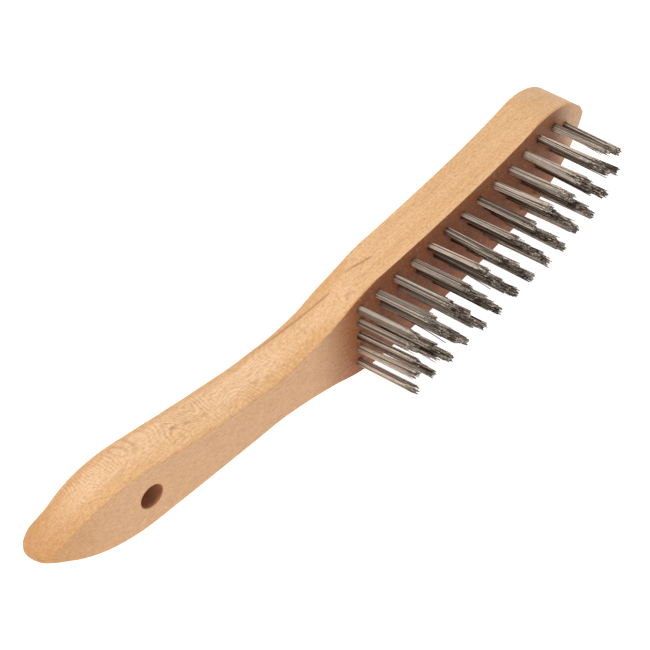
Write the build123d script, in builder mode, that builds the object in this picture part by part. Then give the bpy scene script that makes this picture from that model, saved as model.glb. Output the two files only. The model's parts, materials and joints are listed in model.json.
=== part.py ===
# Hand wire brush: one-piece beech block and handle, set with staple-anchored tufts of steel wire.
# The brush lies on its side: X runs from the handle's end to the toe, Y from the wire tips to the
# back of the wood, and Z across the width, with z = 0 under the flat side of the head.

import os

from build123d import *

# Overall sizes, in mm
LENGTH = 290.0
HEAD_WIDTH = 38.6
TUFT_LENGTH = 25.0              # wire that stands out of the wood
BACK_CREST = 34.2               # highest point of the handle's back above the head's wire face

MID_Z = HEAD_WIDTH / 2
FACE_Y = (TUFT_LENGTH - BACK_CREST) / 2

# The body's shape along X, as (x, value) pairs joined by smooth curves
HALF_WIDTH = [
    (-145, 0.5), (-144, 1.1), (-142, 1.9), (-138, 4.0), (-129, 8.6), (-120, 11.6), (-111, 13.1),
    (-104, 13.3), (-93, 12.4), (-80, 11.4), (-65, 10.5), (-50, 9.8), (-41, 9.6), (-30, 10.7),
    (-20, 12.4), (-10, 14.8), (-2, 17.3), (5, 18.8), (14, 19.6), (60, 19.6), (106, 19.6),
    (114, 19.0), (122, 17.4), (129, 14.8), (136, 10.7), (141, 6.2), (144, 2.8), (145, 0.7),
]
UNDERSIDE = [                   # rise of the flat side towards the back, which bows the brush
    (-145, 24.6), (-144.4, 22.5), (-143.3, 20.9), (-142, 19.9), (-137, 18.3), (-130, 16.7),
    (-110, 13.0), (-90, 9.75), (-70, 7.1), (-50, 4.8), (-30, 3.05), (-10, 1.7), (10, 0.8),
    (30, 0.25), (60, 0.0), (90, 0.4), (115, 1.8), (130, 3.0), (145, 4.5),
]
THICKNESS = [
    (-145, 3.2), (-144.4, 7.0), (-143.3, 10.3), (-142, 12.4), (-139, 14.8), (-130, 17.3),
    (-119, 19.4), (-107, 20.7), (-96, 21.5), (-84, 21.7), (-72, 21.5), (-60, 21.3), (-48, 20.9),
    (-37, 20.4), (-25, 19.2), (-13, 18.5), (-1, 18.2), (10, 16.9), (20, 16.7), (30, 16.8),
    (105, 16.8), (122, 17.4), (141, 17.2), (143, 16.8), (144.3, 15.8), (145, 14.4),
]
EDGE_ACROSS = [                 # reach of the back's rounding across the width
    (-145, 7.5), (-6, 7.5), (6, 5.2), (14, 2.6), (24, 1.8), (100, 1.8), (145, 1.7),
]
EDGE_DOWN = [                   # reach of the back's rounding down the side
    (-145, 1.4), (-142, 6.0), (-132, 8.5), (-8, 9.0), (4, 6.6), (14, 3.0), (24, 1.8), (100, 1.8),
    (145, 1.7),
]
CREASE = [                      # inward lean of the rounding where it runs out at the shoulder
    (-145, 0.05), (-36, 0.05), (-18, 0.9), (-4, 1.5), (8, 1.3), (18, 0.3), (26, 0.05),
    (145, 0.05),
]
SIDE_SWELL = [                  # how far the sides bulge beyond the underside's edge
    (-145, 0.4), (-143, 2.0), (-138, 1.3), (-130, 0.8), (-20, 0.7), (6, 0.15), (145, 0.15),
]
STATIONS = [
    -144.8, -144.6, -144.2, -143.4, -142.2, -140.5, -138, -134.5, -130, -124, -117, -110, -102, -93,
    -83, -72, -60, -50, -41, -33, -25, -17, -10, -3, 4, 10, 16, 28, 45, 62, 79, 96, 106, 112, 118,
    123, 128, 132, 136, 139, 141.5, 143.2, 144.3, 145,
]
UNDERSIDE_EDGE = 0.8            # small rounding where the underside meets the sides
ARC = 0.5523                    # handle length of a cubic that draws a quarter circle

# Hanging hole through the handle
HANG_HOLE_X = -100.9
HANG_HOLE_RADIUS = 4.7
HANG_HOLE_EDGE = 0.35

# Tufts: five rows along the head, all starting level at the heel. The second and the fourth row
# leave a wider gap after their first tuft, so the rest stand between those of their neighbours.
ROW_COUNT = 5
TUFTS_IN_ROW = 13
ROW_SPACING = 6.2
TOE_TUFTS = [                   # the rows' last tufts (x, z from the middle) follow the round toe
    (121.6, -10.2), (128.7, -5.1), (121.6, 0), (130.3, 4.3), (121.8, 9.8),
]
FIRST_TUFT_X = 0.8
PITCH = 10.0
STAGGERED_FIRST_GAP = 12.6
STAGGERED_PITCH = 10.4
SOCKET_RADIUS = 1.7
SOCKET_DEPTH = 11.0
TUFT_RADIUS = 1.6
FOLD_ROUNDING = 0.8
STAPLE_WIDTH = 3.3
STAPLE_DEPTH = 2.2
STAPLE_THICKNESS = 0.4
STAPLE_ABOVE_FOLD = 1.0         # wire folded under the staple at the socket's bottom


def along(knots, x):
    """Value at x of the smooth curve through (x, value) knots, without overshoot."""
    spans = [(b[0] - a[0], (b[1] - a[1]) / (b[0] - a[0])) for a, b in zip(knots, knots[1:])]
    slopes = [spans[0][1]]
    for (step_a, rate_a), (step_b, rate_b) in zip(spans, spans[1:]):
        mean = (rate_a * step_b + rate_b * step_a) / (step_a + step_b)
        limit = 3 * min(abs(rate_a), abs(rate_b))
        flat = rate_a * rate_b <= 0
        slopes.append(0.0 if flat else max(-limit, min(limit, mean)))
    slopes.append(spans[-1][1])
    index = 0
    while index < len(spans) - 1 and x > knots[index + 1][0]:
        index += 1
    step = spans[index][0]
    t = (x - knots[index][0]) / step
    start, end = knots[index][1], knots[index + 1][1]
    lift = t * (1 - t) * step * (slopes[index] * (1 - t) - slopes[index + 1] * t)
    return start + (end - start) * t * t * (3 - 2 * t) + lift


def underside_y(x):
    return FACE_Y + along(UNDERSIDE, x)


def section_plane(x):
    """Plane across the brush, whose own x is the model's Y and whose own y is the model's Z."""
    return Plane(origin=(x, 0, MID_Z), x_dir=(0, 1, 0), z_dir=(1, 0, 0))


def body_section(x):
    """Closed cross-section at x: flat underside, swelled sides and a rounded back."""
    half = along(HALF_WIDTH, x)
    low = underside_y(x)
    high = low + along(THICKNESS, x)
    edge = min(UNDERSIDE_EDGE, 0.4 * half)
    widest = half + along(SIDE_SWELL, x)
    across = min(along(EDGE_ACROSS, x), 0.8 * widest)
    down = along(EDGE_DOWN, x)
    lean = along(CREASE, x)
    ease = 1 - ARC
    with BuildSketch(section_plane(x)) as section:
        with BuildLine():
            Line((low, 0), (low, half - edge))
            Bezier((low, half - edge), (low, half - ease * edge), (low + ease * edge, half),
                   (low + edge, half))
            Bezier((low + edge, half), ((low + high - down) / 2, widest), (high - down, widest))
            Bezier((high - down, widest), (high - ease * down, widest - lean),
                   (high, widest - ease * across), (high, widest - across))
            Line((high, widest - across), (high, 0))
            mirror(about=Plane.XZ)
        make_face()
    return section.sketch


def row_spots(row):
    """Centres (x, z) of the tufts in one row, from the heel to the toe."""
    staggered = row % 2 == 1
    gap = STAGGERED_FIRST_GAP if staggered else PITCH
    pitch = STAGGERED_PITCH if staggered else PITCH
    z = MID_Z + (row - (ROW_COUNT - 1) / 2) * ROW_SPACING
    spots = [(FIRST_TUFT_X, z)]
    for index in range(TUFTS_IN_ROW - 2):
        spots.append((FIRST_TUFT_X + gap + index * pitch, z))
    toe_x, toe_z = TOE_TUFTS[row]
    spots.append((toe_x, MID_Z + toe_z))
    return spots


def tuft_planes(row, depth):
    """Planes across a row's sockets at a depth under the wood's face, facing the wire tips."""
    return [Plane(origin=(x, underside_y(x) + depth, z), x_dir=(1, 0, 0), z_dir=(0, -1, 0))
            for x, z in row_spots(row)]


def make_body():
    sections = [body_section(x) for x in STATIONS]
    with BuildPart() as body:
        loft(sections)
        with BuildSketch(Plane.XY):
            Rectangle(LENGTH + 10, 6 * HEAD_WIDTH)
        extrude(amount=HEAD_WIDTH, mode=Mode.INTERSECT)
        with BuildSketch(Plane.XZ):
            with Locations((HANG_HOLE_X, MID_Z)):
                Circle(HANG_HOLE_RADIUS)
        extrude(amount=-3 * BACK_CREST, mode=Mode.SUBTRACT)
        hole = body.faces().filter_by(GeomType.CYLINDER).edges()
        fillet(hole.filter_by(GeomType.LINE, reverse=True), HANG_HOLE_EDGE)
        for row in range(ROW_COUNT):
            with BuildSketch(*tuft_planes(row, SOCKET_DEPTH)):
                Circle(SOCKET_RADIUS)
            extrude(amount=SOCKET_DEPTH + 3, mode=Mode.SUBTRACT)
    return body.part


def make_tufts(row):
    """Bundles of wire, folded round their staples at the bottom of the sockets."""
    with BuildPart() as tufts:
        with BuildSketch(*tuft_planes(row, SOCKET_DEPTH)):
            Circle(TUFT_RADIUS)
        extrude(amount=SOCKET_DEPTH + TUFT_LENGTH)
        rims = tufts.edges().filter_by(GeomType.CIRCLE).sort_by(Axis.Y)
        fillet(rims[len(rims) // 2:], FOLD_ROUNDING)
        with BuildSketch(*tuft_planes(row, SOCKET_DEPTH - STAPLE_ABOVE_FOLD)):
            Rectangle(2 * TUFT_RADIUS + 1, STAPLE_THICKNESS)
        extrude(amount=STAPLE_DEPTH, mode=Mode.SUBTRACT)
    return tufts.part


def make_staples(row):
    """Flat pieces of anchor wire that pin the folded tufts in their sockets."""
    with BuildPart() as staples:
        with BuildSketch(*tuft_planes(row, SOCKET_DEPTH - STAPLE_ABOVE_FOLD)):
            Rectangle(STAPLE_WIDTH, STAPLE_THICKNESS)
        extrude(amount=STAPLE_DEPTH)
    return staples.part


def save(part, node):
    part.label = node
    export_step(part, f"parts/{node}.step")


os.makedirs("parts", exist_ok=True)
save(make_body(), "wooden_body")
for row in range(ROW_COUNT):
    save(make_tufts(row), f"tuft_row_{row + 1}")
    save(make_staples(row), f"staple_row_{row + 1}")
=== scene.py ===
import json
import math
import random

import bpy
import numpy as np
from mathutils import Matrix, Vector


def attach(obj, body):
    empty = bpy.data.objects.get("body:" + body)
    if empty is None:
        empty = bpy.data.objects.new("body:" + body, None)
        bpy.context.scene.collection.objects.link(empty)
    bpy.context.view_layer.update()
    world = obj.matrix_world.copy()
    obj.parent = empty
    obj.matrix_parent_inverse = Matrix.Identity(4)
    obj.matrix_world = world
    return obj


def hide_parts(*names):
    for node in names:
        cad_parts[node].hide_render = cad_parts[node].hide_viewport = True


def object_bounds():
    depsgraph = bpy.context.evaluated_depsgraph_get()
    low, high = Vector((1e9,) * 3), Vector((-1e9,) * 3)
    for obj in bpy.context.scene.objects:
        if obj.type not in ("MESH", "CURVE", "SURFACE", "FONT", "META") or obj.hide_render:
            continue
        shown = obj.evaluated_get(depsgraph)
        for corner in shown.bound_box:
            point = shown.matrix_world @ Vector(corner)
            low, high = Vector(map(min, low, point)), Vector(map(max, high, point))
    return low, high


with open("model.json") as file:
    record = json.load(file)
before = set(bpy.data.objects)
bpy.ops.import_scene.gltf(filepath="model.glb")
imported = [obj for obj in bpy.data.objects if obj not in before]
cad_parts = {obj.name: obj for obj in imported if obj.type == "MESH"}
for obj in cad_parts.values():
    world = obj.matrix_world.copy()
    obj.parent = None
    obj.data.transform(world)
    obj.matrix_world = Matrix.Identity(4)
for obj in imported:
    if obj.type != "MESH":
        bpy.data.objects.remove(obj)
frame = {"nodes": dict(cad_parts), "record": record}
cad_bounds = [list(corner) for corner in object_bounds()]
low, high = (Vector(corner) for corner in cad_bounds)
centre = (low + high) / 2
mm = 0.001


# Camera

AZIMUTH = math.radians(-53.44)
ELEVATION = math.radians(43.70)
ROLL = math.radians(-0.32)
DISTANCE = 1.1959
AIM_OFFSET = Vector((-4.6, 7.45, 3.0)) * mm     # from the middle of the object's box
LENS = 193.1
SENSOR = 36.0


def make_camera():
    flat = math.cos(ELEVATION)
    back = Vector((math.sin(AZIMUTH) * flat, -math.cos(AZIMUTH) * flat, math.sin(ELEVATION)))
    right = Vector((math.cos(AZIMUTH), math.sin(AZIMUTH), 0))
    up = back.cross(right)
    tilted_right = math.cos(ROLL) * right + math.sin(ROLL) * up
    tilted_up = math.cos(ROLL) * up - math.sin(ROLL) * right
    data = bpy.data.cameras.new("camera")
    data.lens = LENS
    data.sensor_width = SENSOR
    data.sensor_fit = "HORIZONTAL"
    data.clip_start = 0.01
    data.clip_end = 20
    camera = bpy.data.objects.new("camera", data)
    turn = Matrix((tilted_right, tilted_up, back)).transposed().to_4x4()
    camera.matrix_world = Matrix.Translation(centre + AIM_OFFSET + DISTANCE * back) @ turn
    bpy.context.scene.collection.objects.link(camera)
    bpy.context.scene.camera = camera


make_camera()


# Material building

class Shader:
    """A material's node tree, with short calls for the nodes that are used here."""

    def __init__(self, name):
        self.material = bpy.data.materials.new(name)
        self.material.use_nodes = True
        self.nodes = self.material.node_tree.nodes
        self.links = self.material.node_tree.links
        self.surface = self.nodes["Principled BSDF"]

    def feed(self, socket, value):
        if isinstance(value, bpy.types.NodeSocket):
            self.links.new(value, socket)
        else:
            socket.default_value = value

    def add(self, kind, settings, inputs):
        node = self.nodes.new(kind)
        for name, value in settings.items():
            setattr(node, name, value)
        for name, value in inputs.items():
            self.feed(node.inputs[name], value)
        return node

    def math(self, operation, a, b=0.0, c=0.0):
        settings = {"operation": operation}
        return self.add("ShaderNodeMath", settings, {0: a, 1: b, 2: c}).outputs[0]

    def vector_math(self, operation, a, b):
        settings = {"operation": operation}
        return self.add("ShaderNodeVectorMath", settings, {0: a, 1: b}).outputs[0]

    def ramp(self, value, start, end, low=0.0, high=1.0):
        inputs = {"Value": value, "From Min": start, "From Max": end, "To Min": low, "To Max": high}
        settings = {"interpolation_type": "SMOOTHSTEP"}
        return self.add("ShaderNodeMapRange", settings, inputs).outputs["Result"]

    def mix(self, factor, a, b):
        """Colour between a and b; the node's sockets 6 and 7 are its two colours."""
        settings = {"data_type": "RGBA", "clamp_factor": True}
        return self.add("ShaderNodeMix", settings, {0: factor, 6: a, 7: b}).outputs[2]

    def noise(self, vector, scale, detail=2.0, roughness=0.5):
        """Noise of 0 to 1; scale is a number or one for each axis."""
        if not isinstance(scale, (int, float)):
            vector = self.vector_math("MULTIPLY", vector, scale)
            scale = 1.0
        inputs = {"Vector": vector, "Scale": scale, "Detail": detail, "Roughness": roughness}
        return self.add("ShaderNodeTexNoise", {}, inputs).outputs["Fac"]

    def split(self, vector):
        return self.add("ShaderNodeSeparateXYZ", {}, {0: vector}).outputs

    def join(self, x, y, z):
        return self.add("ShaderNodeCombineXYZ", {}, {0: x, 1: y, 2: z}).outputs[0]

    def bump(self, height, distance, normal=None):
        inputs = {"Height": height, "Distance": distance}
        if normal is not None:
            inputs["Normal"] = normal
        return self.add("ShaderNodeBump", {}, inputs).outputs[0]

    def position_mm(self):
        """The point on the surface, in millimetres in the object's own frame."""
        coordinates = self.nodes.new("ShaderNodeTexCoord").outputs["Object"]
        return self.vector_math("MULTIPLY", coordinates, (1000, 1000, 1000))

    def finish(self, **inputs):
        for name, value in inputs.items():
            self.feed(self.surface.inputs[name.replace("_", " ")], value)
        return self.material


def colour(red, green, blue):
    """Linear colour with alpha of an sRGB colour given in 0 to 255."""
    values = []
    for channel in (red, green, blue):
        part = channel / 255
        values.append(part / 12.92 if part <= 0.04045 else ((part + 0.055) / 1.055) ** 2.4)
    return (*values, 1.0)


# Wood

PALE = colour(232, 196, 158)
GOLD = colour(225, 182, 135)
TAN = colour(198, 156, 116)
ORANGE = colour(208, 158, 100)
BROWN = colour(150, 96, 56)
DEEP = colour(96, 58, 34)
HANDLE_END = colour(188, 138, 86)
# Painted shade: the dark red of the wood among the tufts
TUFT_SHADE_RED = colour(132, 62, 14)
PALEST = colour(236, 198, 164)
SCORCHED = colour(150, 84, 50)

# Where the look changes, in mm along X, as (where the change begins, where it is complete)
RINGS_APPEAR = (-10, -52)
RINGS_DENSER = -104.0           # growth rings lie closer from here to the handle's end
HEAD_IS_GOLD = (-14, 22)
END_IS_DARK = (-112, -144)
# Painted shade among the tufts, fading in at the heel and out at the toe
TUFT_SHADE_AT_HEEL = (-26, 2)
TUFT_SHADE_AT_TOE = (138, 120)
WAIST_AT_GRIP = (-44, -14)
WAIST_AT_HEAD = (16, 0)

# Marks on the sides, in mm along X and Y: painted shade along the creases at the shoulder, as (from
# x, to x, y at from x, y at to x), a pale patch at the shoulder and brown ovals on the grip, as
# (centre x, centre y, half length, half height)
CREASE_SHADES = [(-42, -2, 17.4, 6.6), (1, 20, 8.9, 4.2)]
PALE_PATCH = (-0.5, 1.4, 4.6, 3.4)
BROWN_OVALS = [(-81.2, 13.1, 2.6, 1.1), (-76.5, 11.3, 2.2, 1.0)]
CREASE_REACH = (0.9, 0.1)       # mm from a crease's line where its painted shade begins and is full
CREASE_FADE_IN = 12
CREASE_FADE_OUT = 3

RINGS_IN_HILL = 32.0            # contours between the lowest and the highest noise
RINGS_IN_RIPPLE = 1.1
RINGS_PER_MM = 1.1              # towards the handle's end
HOLE_RIM = 0.35                 # mm outside the hole's radius where the scorching begins
HOLE_WALL = 0.05                # and where it is full


def crease_shade_line(s, x, y, crease):
    """1 on the crease's line, where painted shade goes, fading to both sides of it and at both of
    its ends.
    """
    start, end, start_y, end_y = crease
    slope = (end_y - start_y) / (end - start)
    level = s.math("MULTIPLY_ADD", x, slope, start_y - start * slope)
    away = s.math("ABSOLUTE", s.math("SUBTRACT", y, level))
    reach = s.math("MULTIPLY", s.ramp(x, start, start + CREASE_FADE_IN),
                   s.ramp(x, end, end - CREASE_FADE_OUT))
    return s.math("MULTIPLY", s.ramp(away, *CREASE_REACH), reach)


def oval_spot(s, x, y, oval, soft):
    """1 in the oval's middle, fading to 0 at its edge over the share `soft` of its size."""
    across = s.math("DIVIDE", s.math("SUBTRACT", x, oval[0]), oval[2])
    down = s.math("DIVIDE", s.math("SUBTRACT", y, oval[1]), oval[3])
    away = s.math("SQRT", s.math("ADD", s.math("POWER", across, 2.0), s.math("POWER", down, 2.0)))
    return s.ramp(away, 1.0, 1.0 - soft)


def make_beech():
    s = Shader("beech_wood")
    point = s.position_mm()
    x, y, z = s.split(point)
    normal = s.nodes.new("ShaderNodeNewGeometry").outputs["Normal"]
    facing_x, facing_y, facing_z = s.split(normal)
    on_side = s.ramp(s.math("ABSOLUTE", facing_z), 0.55, 0.85)

    # Growth rings meet the curved sides as fine closed contours, denser towards the handle's end
    hill = s.noise(point, (0.046, 0.034, 0.022), 1.0, 0.4)
    ripple = s.noise(point, (0.3, 0.25, 0.25), 2.0)
    beyond = s.math("MAXIMUM", s.math("SUBTRACT", RINGS_DENSER, x), 0.0)
    drift = s.math("MULTIPLY", beyond, RINGS_PER_MM)
    depth = s.math("ADD", s.math("MULTIPLY", hill, RINGS_IN_HILL),
                   s.math("MULTIPLY", ripple, RINGS_IN_RIPPLE))
    depth = s.math("ADD", depth, drift)
    contour = s.math("SINE", s.math("MULTIPLY", depth, 2 * math.pi))
    ring = s.ramp(contour, -0.3, 1.0)
    ring_place = s.ramp(s.noise(point, (0.03, 0.06, 0.06), 2.0), 0.38, 0.62, 0.25, 1.0)
    ring_place = s.math("MULTIPLY", ring_place, s.ramp(x, *RINGS_APPEAR, 0.2, 1.0))
    patch = s.math("MULTIPLY", oval_spot(s, x, y, PALE_PATCH, 0.35), on_side)
    ring_place = s.math("MAXIMUM", ring_place, patch)
    ring = s.math("MULTIPLY", s.math("MULTIPLY", ring, ring_place), on_side)

    # Straight grain on the underside and the back
    level = s.math("ADD", s.math("MULTIPLY", z, 0.75), s.math("MULTIPLY", ripple, 1.5))
    wave = s.math("SINE", s.math("MULTIPLY", level, 2 * math.pi))
    line = s.math("MULTIPLY", s.ramp(wave, 0.0, 1.0), s.math("SUBTRACT", 1.0, on_side))

    fibre = s.noise(point, (0.06, 1.9, 1.9), 4.0, 0.62)
    strand = s.noise(point, (0.008, 0.22, 0.22), 3.0, 0.55)
    speckle = s.noise(point, (0.75, 1.5, 1.5), 3.0, 0.7)
    fleck = s.ramp(s.noise(point, (0.55, 2.4, 2.4), 2.0, 0.55), 0.58, 0.64)
    pore = s.ramp(s.noise(point, (0.7, 5.0, 5.0), 1.0, 0.5), 0.62, 0.72)
    cloud = s.noise(point, (0.022, 0.05, 0.05), 2.0)

    # The sides are palest in the middle, and golden at the head and towards both edges
    base = s.mix(s.ramp(x, *HEAD_IS_GOLD), PALE, GOLD)
    base = s.mix(s.math("MULTIPLY", s.ramp(cloud, 0.4, 0.7), 0.6), base, GOLD)
    base = s.mix(s.math("MULTIPLY", s.ramp(facing_y, 0.10, 0.55), 0.8), base, ORANGE)
    base = s.mix(s.math("MULTIPLY", s.ramp(facing_y, -0.045, -0.13), 0.65), base, ORANGE)
    base = s.mix(s.ramp(facing_y, -0.5, -0.9), base, TAN)
    base = s.mix(s.math("MULTIPLY", s.ramp(strand, 0.45, 0.75), 0.35), base, ORANGE)

    # The handle's end was left darker and more golden
    base = s.mix(s.math("MULTIPLY", s.ramp(x, *END_IS_DARK), 0.85), base, HANDLE_END)

    # Between the tufts the wood gets painted shade, darker and redder, for the shade and reddish
    # bounce that fall among the tufts
    tuft_shade = s.math("MULTIPLY", s.ramp(x, *TUFT_SHADE_AT_HEEL), s.ramp(x, *TUFT_SHADE_AT_TOE))
    tuft_shade = s.math("MULTIPLY", tuft_shade, s.ramp(facing_y, -0.6, -0.95))
    base = s.mix(s.math("MULTIPLY", tuft_shade, 0.92), base, TUFT_SHADE_RED)

    base = s.mix(s.math("MULTIPLY", patch, 0.8), base, PALEST)
    for oval in BROWN_OVALS:
        mark = s.math("MULTIPLY", oval_spot(s, x, y, oval, 0.7), on_side)
        base = s.mix(s.math("MULTIPLY", mark, 0.35), base, BROWN)
    waist = s.math("MULTIPLY", s.ramp(x, *WAIST_AT_GRIP), s.ramp(x, *WAIST_AT_HEAD))
    base = s.mix(s.math("MULTIPLY", s.math("MULTIPLY", waist, on_side), 0.35), base, ORANGE)
    # Painted shade: dark brown lines along the creases at the shoulder
    for crease in CREASE_SHADES:
        mark = s.math("MULTIPLY", crease_shade_line(s, x, y, crease), on_side)
        base = s.mix(s.math("MULTIPLY", mark, 0.60), base, BROWN)

    blotch = s.math("MULTIPLY", s.ramp(speckle, 0.42, 0.72), s.ramp(on_side, 0.0, 1.0, 0.14, 0.28))
    base = s.mix(blotch, base, BROWN)
    base = s.mix(s.math("MULTIPLY", s.ramp(speckle, 0.52, 0.26), 0.22), base, PALE)
    base = s.mix(s.math("MULTIPLY", s.ramp(fibre, 0.40, 0.75), 0.20), base, BROWN)
    base = s.mix(s.math("MULTIPLY", ring, 0.30), base, BROWN)
    base = s.mix(s.math("MULTIPLY", line, 0.07), base, BROWN)
    base = s.mix(s.math("MULTIPLY", fleck, 0.27), base, BROWN)
    base = s.mix(s.math("MULTIPLY", pore, 0.30), base, DEEP)
    end_grain = s.ramp(s.math("ABSOLUTE", facing_x), 0.72, 0.97)
    base = s.mix(s.math("MULTIPLY", end_grain, 0.35), base, BROWN)

    # The drilled wall of the hanging hole is scorched brown
    hole = next(m for m in frame["record"]["mounts"] if m["name"] == "hanging_hole")
    radius = hole["dims"]["r_mm"]
    flat = s.join(s.math("SUBTRACT", x, hole["pos_m"][0] * 1000), 0.0,
                  s.math("SUBTRACT", z, hole["pos_m"][2] * 1000))
    away = s.add("ShaderNodeVectorMath", {"operation": "LENGTH"}, {0: flat}).outputs["Value"]
    inside = s.ramp(away, radius + HOLE_RIM, radius + HOLE_WALL)
    wall = s.math("MULTIPLY", inside, s.ramp(s.math("ABSOLUTE", facing_y), 0.9, 0.5))
    base = s.mix(s.math("MULTIPLY", wall, 0.75), base, SCORCHED)

    height = s.math("ADD", s.math("MULTIPLY", fibre, 0.45), s.math("MULTIPLY", pore, -0.8))
    height = s.math("ADD", height, s.math("MULTIPLY", ring, -0.5))
    height = s.math("ADD", height, s.math("MULTIPLY", speckle, 0.7))
    wavy = s.noise(point, (0.08, 0.12, 0.12), 1.0)
    uneven = s.bump(wavy, 0.35 * mm)
    grain = s.bump(height, 0.04 * mm, uneven)
    rough = s.ramp(fibre, 0.3, 0.7, 0.50, 0.62)
    return s.finish(Base_Color=base, Roughness=rough, Normal=grain, IOR=1.45,
                    Specular_IOR_Level=0.3)


# Steel

def make_wire_steel():
    s = Shader("steel_wire")
    tone = s.add("ShaderNodeAttribute", {"attribute_name": "tone"}, {}).outputs["Fac"]
    tip = s.add("ShaderNodeAttribute", {"attribute_name": "tip"}, {}).outputs["Fac"]
    point = s.position_mm()
    drawn = s.noise(point, (9.0, 0.6, 9.0), 2.0)
    stain = s.ramp(s.noise(point, (0.8, 0.35, 0.8), 3.0, 0.6), 0.45, 0.75)
    bright = colour(236, 222, 206)
    dull = colour(92, 76, 64)
    rusty = colour(112, 84, 66)
    black = colour(26, 19, 15)
    base = s.mix(s.ramp(tone, 0.0, 1.0), dull, bright)
    base = s.mix(s.math("MULTIPLY", s.ramp(drawn, 0.4, 0.7), 0.25), base, dull)
    base = s.mix(s.math("MULTIPLY", stain, 0.25), base, rusty)
    mottle = s.ramp(s.noise(point, (1.8, 0.9, 1.8), 3.0, 0.7), 0.44, 0.56)
    base = s.mix(s.math("MULTIPLY", s.math("MULTIPLY", tip, mottle), 0.92), base, black)
    rough = s.math("ADD", s.ramp(drawn, 0.3, 0.7, 0.28, 0.40), s.math("MULTIPLY", tip, 0.25))
    scratch = s.bump(drawn, 0.01 * mm)
    metallic = s.ramp(tip, 0.0, 1.0, 0.75, 0.45)
    return s.finish(Base_Color=base, Metallic=metallic, Roughness=rough, Normal=scratch)


def make_anchor_steel():
    s = Shader("anchor_steel")
    point = s.position_mm()
    drawn = s.noise(point, (0.8, 8.0, 8.0), 3.0)
    base = s.mix(s.ramp(drawn, 0.3, 0.7), colour(150, 146, 140), colour(96, 92, 88))
    rough = s.ramp(drawn, 0.3, 0.7, 0.28, 0.5)
    return s.finish(Base_Color=base, Metallic=1.0, Roughness=rough, Normal=s.bump(drawn, 0.01 * mm))


# Wire tufts

WIRE_RADIUS = 0.17 * mm
WIRE_SIDES = 6
WIRE_SPACING = 0.365 * mm
ROW_RISE = 0.866                # height of a row of close-packed wires, over their spacing
STAPLE_HALF = 0.4 * mm          # half the gap that the staple holds open at the fold
FOLD_AT = 0.9                   # share of the socket's depth where the fold begins

# How uneven the wires are: spreads of normal draws, or the ends of even ones, lengths in mm
TUFT_LEAN = 0.35
TUFT_FLARE = (0.0, 0.22)
TUFT_SHORT = (0.0, 0.03)        # share of the length
WIRE_SHORT = 0.10
MOST_SHORT = 0.3
WIRE_CURL = 0.16
LOOSE_SHARE = 0.05
LOOSE_CURL = (0.5, 1.3)
TONE_MEAN = 0.5
TONE_SPREAD = 0.42

WORN_END = [1.0, 0.9, 0.7, 0.35, 0.1]     # wear at a wire's first points, from its cut tip
LEG_SHARES = (1.0, 0.985, 0.94, 0.86, 0.74, 0.58, 0.4, 0.2, 0.0)    # its points, tip to root
WIRES_EACH_WAY = 8              # more than fit in a tuft's radius
WIRE_JITTER = 0.05 * mm
TUFT_GAP = 4.0 * mm             # more than the spacing of a tuft's own vertices along X
SOCKET_DEPTH = 11.0 * mm


def tuft_boxes(node):
    """Lowest and highest corners of each tuft in a CAD row, told apart by gaps along X."""
    points = np.array([vertex.co for vertex in frame["nodes"][node].data.vertices])
    points = points[np.argsort(points[:, 0])]
    cuts = np.nonzero(np.diff(points[:, 0]) > TUFT_GAP)[0] + 1
    return [(group.min(0), group.max(0)) for group in np.split(points, cuts)]


def wire_spots(radius, rng):
    """Places (x, z) of the wires on one side of a tuft's staple, close-packed in a half disc."""
    spots = []
    rise = WIRE_SPACING * ROW_RISE
    reach = radius - WIRE_RADIUS
    for row in range(WIRES_EACH_WAY):
        z = (row + 0.5) * rise
        if z > reach:
            break
        width = math.sqrt(reach * reach - z * z)
        start = (row % 2) * 0.5 * WIRE_SPACING
        for step in range(-WIRES_EACH_WAY, WIRES_EACH_WAY + 1):
            x = start + step * WIRE_SPACING
            if abs(x) <= width:
                spots.append((x + rng.uniform(-WIRE_JITTER, WIRE_JITTER),
                              z + rng.uniform(-WIRE_JITTER, WIRE_JITTER)))
    return spots


def wire_half(root, side, spot, fold_y, length, lean, flare, curl):
    """Points of one leg of a folded wire, from its tip down to the fold."""
    x, z = spot[0], side * spot[1]
    points = []
    for share in LEG_SHARES:
        spread = 1 + flare * share * share
        bow = curl * share * share
        points.append((root[0] + x * spread + lean[0] * share + bow[0],
                       root[1] - length * share,
                       root[2] + z * spread + lean[1] * share + bow[1]))
    squeezed = side * (STAPLE_HALF + abs(z) * 0.62)
    inside = fold_y - root[1]
    points.append((root[0] + x * 0.97, root[1] + inside * 0.45, root[2] + z))
    points.append((root[0] + x * 0.95, root[1] + inside * 0.72, root[2] + squeezed))
    points.append((root[0] + x * 0.95, root[1] + inside * FOLD_AT, root[2] + squeezed))
    return points


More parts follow.
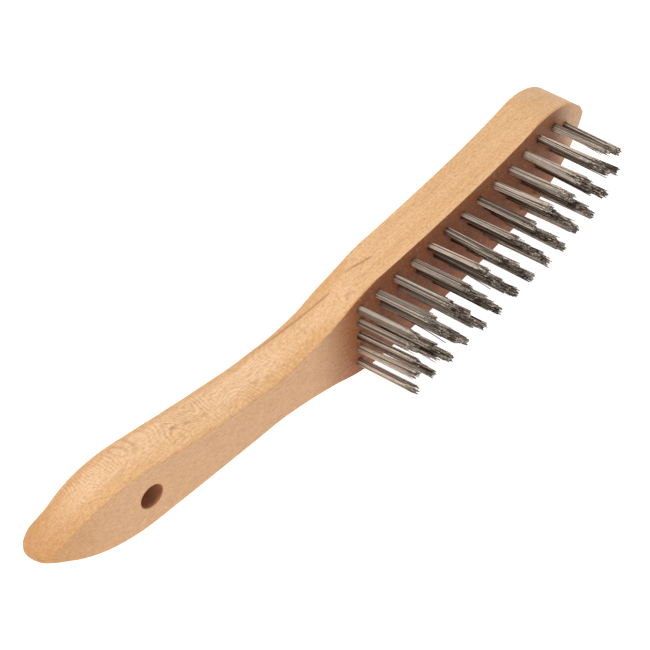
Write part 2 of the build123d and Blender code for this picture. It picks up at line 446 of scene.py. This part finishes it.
def add_wire(mesh, points, tips, tone, rng):
    """Adds a round wire through the points to the lists of a growing mesh."""
    vertices, faces, tones, tip_values = mesh
    first = len(vertices)
    path = np.array(points)
    tangents = np.gradient(path, axis=0)
    tangents /= np.linalg.norm(tangents, axis=1)[:, None]
    last = len(path) - 1
    cut = (rng.uniform(-0.9, 0.9), rng.uniform(-0.9, 0.9))
    for index, (point, tangent) in enumerate(zip(path, tangents)):
        across = np.array((1.0, 0.0, 0.0)) - tangent[0] * tangent
        across /= np.linalg.norm(across)
        other = np.cross(tangent, across)
        for corner in range(WIRE_SIDES):
            angle = 2 * math.pi * corner / WIRE_SIDES
            out = math.cos(angle) * across + math.sin(angle) * other
            place = point + WIRE_RADIUS * out
            if index in (0, last):
                slant = cut[0] * math.cos(angle) + cut[1] * math.sin(angle)
                inward = tangent if index == 0 else -tangent
                place = place + inward * WIRE_RADIUS * (slant + 1.3)
            vertices.append(place)
            tones.append(tone)
            tip_values.append(tips[index])
    for index in range(last):
        for corner in range(WIRE_SIDES):
            a = first + index * WIRE_SIDES + corner
            b = first + index * WIRE_SIDES + (corner + 1) % WIRE_SIDES
            faces.append((a, b, b + WIRE_SIDES, a + WIRE_SIDES))
    ring = list(range(first, first + WIRE_SIDES))
    faces.append(tuple(reversed(ring)))
    faces.append(tuple(corner + last * WIRE_SIDES for corner in ring))


def make_tuft(mesh, corners, rng):
    """Adds one tuft's folded wires, set where its CAD rod stands."""
    box_low, box_high = corners
    radius = (box_high[2] - box_low[2]) / 2
    face_y = box_high[1] - SOCKET_DEPTH
    root = ((box_low[0] + box_high[0]) / 2, face_y, (box_low[2] + box_high[2]) / 2)
    reach = face_y - box_low[1]
    lean = (rng.gauss(0, TUFT_LEAN) * mm, rng.gauss(0, TUFT_LEAN) * mm)
    flare = rng.uniform(*TUFT_FLARE)
    droop = rng.uniform(*TUFT_SHORT)
    for spot in wire_spots(radius, rng):
        tone = min(1.0, max(0.0, rng.gauss(TONE_MEAN, TONE_SPREAD)))
        halves = []
        for side in (1, -1):
            short = abs(rng.gauss(0, WIRE_SHORT)) + droop
            length = reach * (1 - min(short, MOST_SHORT))
            angle = rng.uniform(0, 2 * math.pi)
            size = abs(rng.gauss(0, WIRE_CURL)) * mm
            if rng.random() < LOOSE_SHARE:
                size = rng.uniform(*LOOSE_CURL) * mm
            curl = np.array((math.cos(angle), math.sin(angle))) * size
            halves.append(wire_half(root, side, spot, box_high[1], length, lean, flare, curl))
        depth = box_high[1] - WIRE_RADIUS
        fold_x = (halves[0][-1][0] + halves[1][-1][0]) / 2
        leg_y = halves[0][-1][1]
        bottom = leg_y + (depth - leg_y) * min(1.0, 0.55 + spot[1] / radius)
        wide = (halves[0][-1][2] - halves[1][-1][2]) / 2
        shoulder = leg_y + (bottom - leg_y) * 0.8
        fold = [(fold_x, shoulder, root[2] + wide * 0.7),
                (fold_x, bottom, root[2]),
                (fold_x, shoulder, root[2] - wide * 0.7)]
        points = halves[0] + fold + list(reversed(halves[1]))
        worn = WORN_END + [0.0] * (len(halves[0]) - len(WORN_END))
        tips = worn + [0.0] * len(fold) + list(reversed(worn))
        add_wire(mesh, points, tips, tone, rng)


def make_row(node, steel, seed):
    rng = random.Random(seed)
    mesh = ([], [], [], [])
    for corners in tuft_boxes(node):
        make_tuft(mesh, corners, rng)
    vertices, faces, tones, tips = mesh
    data = bpy.data.meshes.new(node + "_wires")
    data.from_pydata(vertices, [], faces)
    for name, values in (("tone", tones), ("tip", tips)):
        data.attributes.new(name, "FLOAT", "POINT").data.foreach_set("value", values)
    data.polygons.foreach_set("use_smooth", [len(face) == 4 for face in faces])
    data.materials.append(steel)
    piece = bpy.data.objects.new(node + "_wires", data)
    bpy.context.scene.collection.objects.link(piece)
    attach(piece, "root")
    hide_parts(node)


wire_steel = make_wire_steel()
tuft_nodes = sorted(name for name in frame["nodes"] if name.startswith("tuft_row"))
for seed, node in enumerate(tuft_nodes):
    make_row(node, wire_steel, seed)


def dress(node, material):
    node.data.materials.clear()
    node.data.materials.append(material)


dress(frame["nodes"]["wooden_body"], make_beech())
anchor_steel = make_anchor_steel()
for name, node in frame["nodes"].items():
    if name.startswith("staple_row"):
        dress(node, anchor_steel)


# Stage and light

FLOOR_HALF = 3.0
FLOOR_GREYS = ((0.66, 0.66, 0.66, 1), (0.70, 0.70, 0.70, 1))
FLOOR_GLOW = 0.95
WHITE = (1.0, 1.0, 1.0, 1.0)
KEY_PLACE = (-0.55, 0.06, 1.25)     # from the middle of the object's box, in metres
KEY_SIZE = 0.45
KEY_POWER = 14
KEY_WARMTH = (1.0, 0.98, 0.95)
STUDIO_STRENGTH = 0.55


def make_floor():
    s = Shader("floor_paper")
    point = s.position_mm()
    speckle = s.noise(point, 0.8, 3.0)
    base = s.mix(speckle, *FLOOR_GREYS)
    material = s.finish(Base_Color=base, Roughness=0.9, Specular_IOR_Level=0.1,
                        Emission_Color=WHITE, Emission_Strength=FLOOR_GLOW)
    half = FLOOR_HALF
    data = bpy.data.meshes.new("floor")
    corners = [(-half, -half, 0), (half, -half, 0), (half, half, 0), (-half, half, 0)]
    data.from_pydata(corners, [], [(0, 1, 2, 3)])
    data.materials.append(material)
    floor = bpy.data.objects.new("floor", data)
    bpy.context.scene.collection.objects.link(floor)


def make_light(name, place, size, power, warmth):
    data = bpy.data.lights.new(name, "AREA")
    data.shape = "DISK"
    data.size = size
    data.energy = power
    data.color = warmth
    light = bpy.data.objects.new(name, data)
    light.location = centre + Vector(place)
    light.rotation_euler = Vector(place).to_track_quat("Z", "Y").to_euler()
    bpy.context.scene.collection.objects.link(light)


make_floor()
make_light("key", KEY_PLACE, KEY_SIZE, KEY_POWER, KEY_WARMTH)
world = bpy.data.worlds.new("studio")
world.use_nodes = True
backdrop = world.node_tree.nodes["Background"]
backdrop.inputs["Color"].default_value = WHITE
backdrop.inputs["Strength"].default_value = STUDIO_STRENGTH
bpy.context.scene.world = world
bpy.context.scene.view_settings.view_transform = "Standard"
